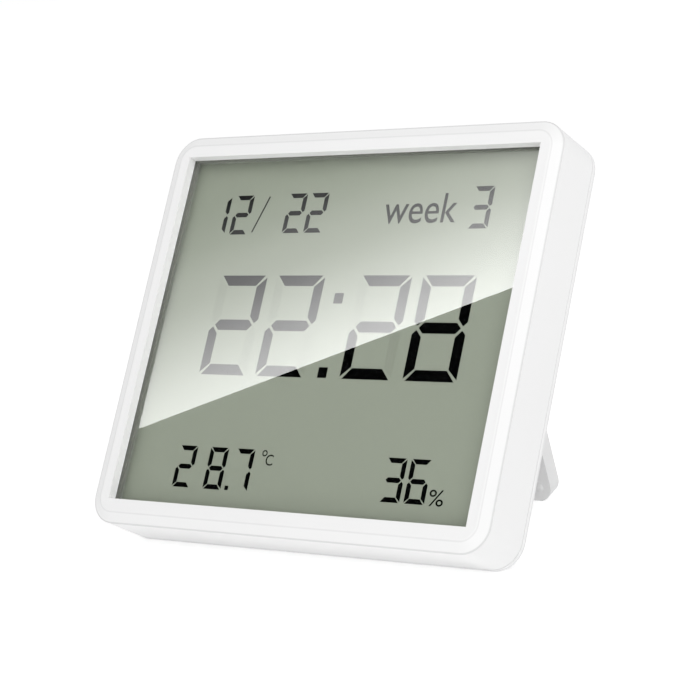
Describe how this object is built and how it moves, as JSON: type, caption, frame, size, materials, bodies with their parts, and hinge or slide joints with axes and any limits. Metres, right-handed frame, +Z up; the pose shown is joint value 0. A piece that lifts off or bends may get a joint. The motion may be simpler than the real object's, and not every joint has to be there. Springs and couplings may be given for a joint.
{
  "type": "temperature and humidity display",
  "caption": "Flat rounded desk display for time, date, temperature and humidity, leaning back on a folding rear stand.",
  "frame": {"origin": "middle of the footprint, on the table, with the stand open", "axes": "+X to the viewer's right along the case, +Y away from the viewer, +Z up"},
  "size_m": [0.1, 0.0632, 0.0831],
  "materials": {
    "case_white": "satin moulded ABS, pure white",
    "stand_white": "fine spark texture, white",
    "door_white": "fine spark texture, white",
    "button_white": "satin white",
    "clear_pane": "polished clear acrylic",
    "foam": "dark closed-cell foam",
    "polariser": "grey-green polarising film",
    "lcd_glass": "thin display glass",
    "reflector": "grey-green reflective film",
    "holder_white": "moulded white",
    "contact_rubber": "striped silicone rubber",
    "circuit_board": "green solder mask",
    "resin": "black potting resin",
    "nickel": "nickel plated steel",
    "ceramic": "ceramic capacitor body",
    "sensor_black": "moulded sensor package",
    "switch_black": "moulded nylon",
    "plunger_cream": "moulded acetal",
    "zinc_screw": "zinc plated",
    "cell_steel": "stainless can"
  },
  "bodies": {
    "case": {"front_bezel": "case_white", "window_pane": "clear_pane", "lcd_gasket": "foam", "lcd_front_polariser": "polariser", "lcd_front_glass": "lcd_glass", "lcd_rear_glass": "lcd_glass", "lcd_reflector": "reflector", "lcd_holder": "holder_white", "zebra_strip": "contact_rubber", "main_board": "circuit_board", "controller_chip": "resin", "clock_crystal": "nickel", "chip_capacitors": "ceramic", "humidity_sensor": "sensor_black", "tact_switches": "switch_black", "middle_frame": "case_white", "back_cover": "case_white", "cover_screws": "zinc_screw", "coin_cell": "cell_steel", "cell_contact_negative": "nickel", "cell_contact_positive": "nickel"},
    "stand": {"stand": "stand_white"},
    "battery_door": {"battery_door": "door_white"},
    "set_button": {"set_button": "button_white", "switch_plunger_set": "plunger_cream"},
    "up_button": {"up_button": "button_white", "switch_plunger_up": "plunger_cream"},
    "down_button": {"down_button": "button_white", "switch_plunger_down": "plunger_cream"}
  },
  "joints": [
    {"name": "stand_fold", "type": "hinge", "parent": "case", "child": "stand", "pos_m": [0, 0.01375, 0.06046], "axis": [1, 0, 0], "range_deg": [-45.5, 0]},
    {"name": "battery_door_turn", "type": "hinge", "parent": "case", "child": "battery_door", "pos_m": [0, -0.00504, 0.03329], "axis": [0, 0.8605, -0.5094], "range_deg": [0, 40]},
    {"name": "set_press", "type": "slide", "parent": "case", "child": "set_button", "axis": [0, -0.8605, 0.5094], "range_m": [0, 0.00035], "stiffness_N_per_m": 1500},
    {"name": "up_press", "type": "slide", "parent": "case", "child": "up_button", "axis": [0, -0.8605, 0.5094], "range_m": [0, 0.00035], "stiffness_N_per_m": 1500},
    {"name": "down_press", "type": "slide", "parent": "case", "child": "down_button", "axis": [0, -0.8605, 0.5094], "range_m": [0, 0.00035], "stiffness_N_per_m": 1500}
  ]
}
